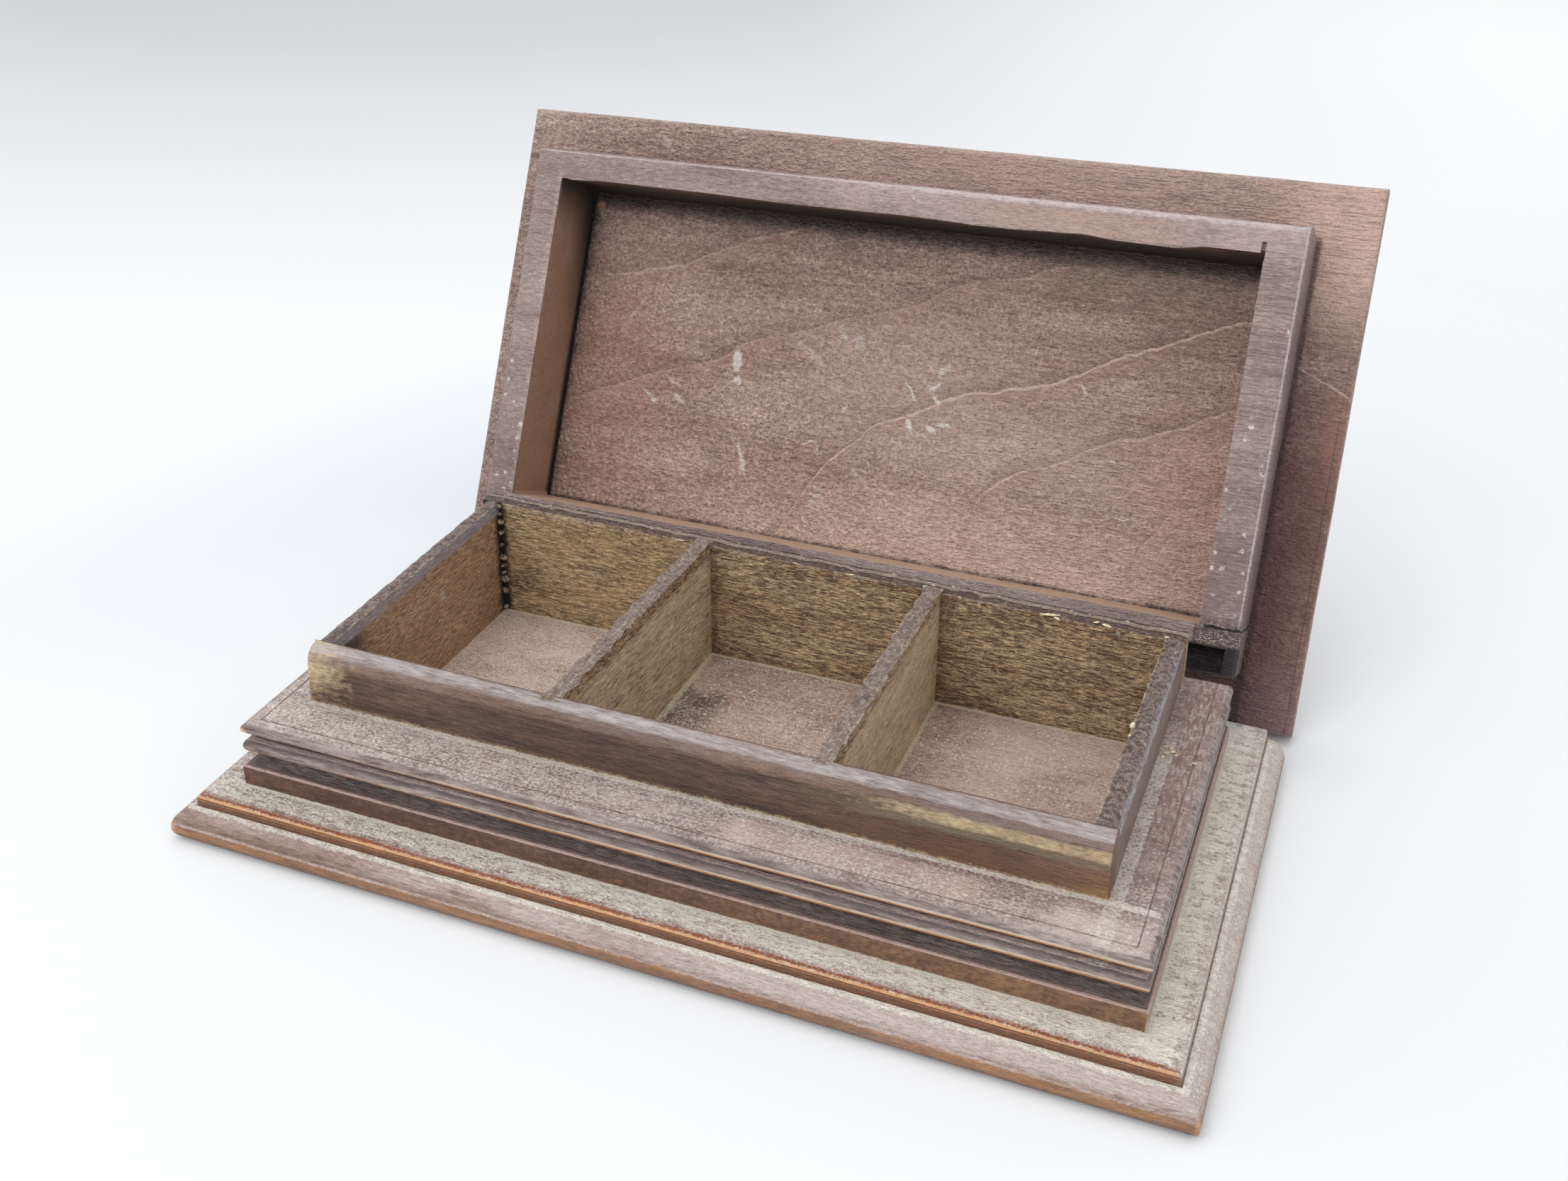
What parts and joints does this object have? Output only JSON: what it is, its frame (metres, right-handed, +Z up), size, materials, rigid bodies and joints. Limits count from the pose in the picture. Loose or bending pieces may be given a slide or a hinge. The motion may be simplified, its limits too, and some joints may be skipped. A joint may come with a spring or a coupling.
{
  "type": "wooden puzzle box",
  "caption": "Small wooden keepsake box with a moulded base, a divided tray and a deep framed lid that swings back on a hidden wire hinge.",
  "frame": {"origin": "centre of the base board's flat underside", "axes": "+Z up, +X along the length of the box, -Y towards the front, the lid open towards +Y"},
  "size_m": [0.1698, 0.1455, 0.0905],
  "materials": {
    "base_wood": "worn dusty red-brown stain",
    "body_wood": "worn dusty red-brown stain",
    "tray_wood": "rubbed olive-brown stain",
    "lid_wood": "satin pink-brown stain",
    "frame_wood": "sawn, dull mauve-brown stain",
    "hinge_wire": "dull drawn wire"
  },
  "bodies": {
    "box": {"base_board": "base_wood", "plinth_board": "body_wood", "cornice_board": "body_wood", "tray_front_wall": "tray_wood", "tray_back_wall": "tray_wood", "tray_left_wall": "tray_wood", "tray_right_wall": "tray_wood", "tray_divider_left": "tray_wood", "tray_divider_right": "tray_wood", "fixed_hinge_eyes": "hinge_wire"},
    "lid": {"lid_top_board": "lid_wood", "lid_frame": "frame_wood", "hinge_rod": "hinge_wire", "lid_hinge_eyes": "hinge_wire"}
  },
  "joints": [
    {"name": "lid_hinge", "type": "hinge", "parent": "box", "child": "lid", "pos_m": [0, 0.0439, 0.0201], "axis": [1, 0, 0], "range_deg": [0, 115.8]}
  ]
}
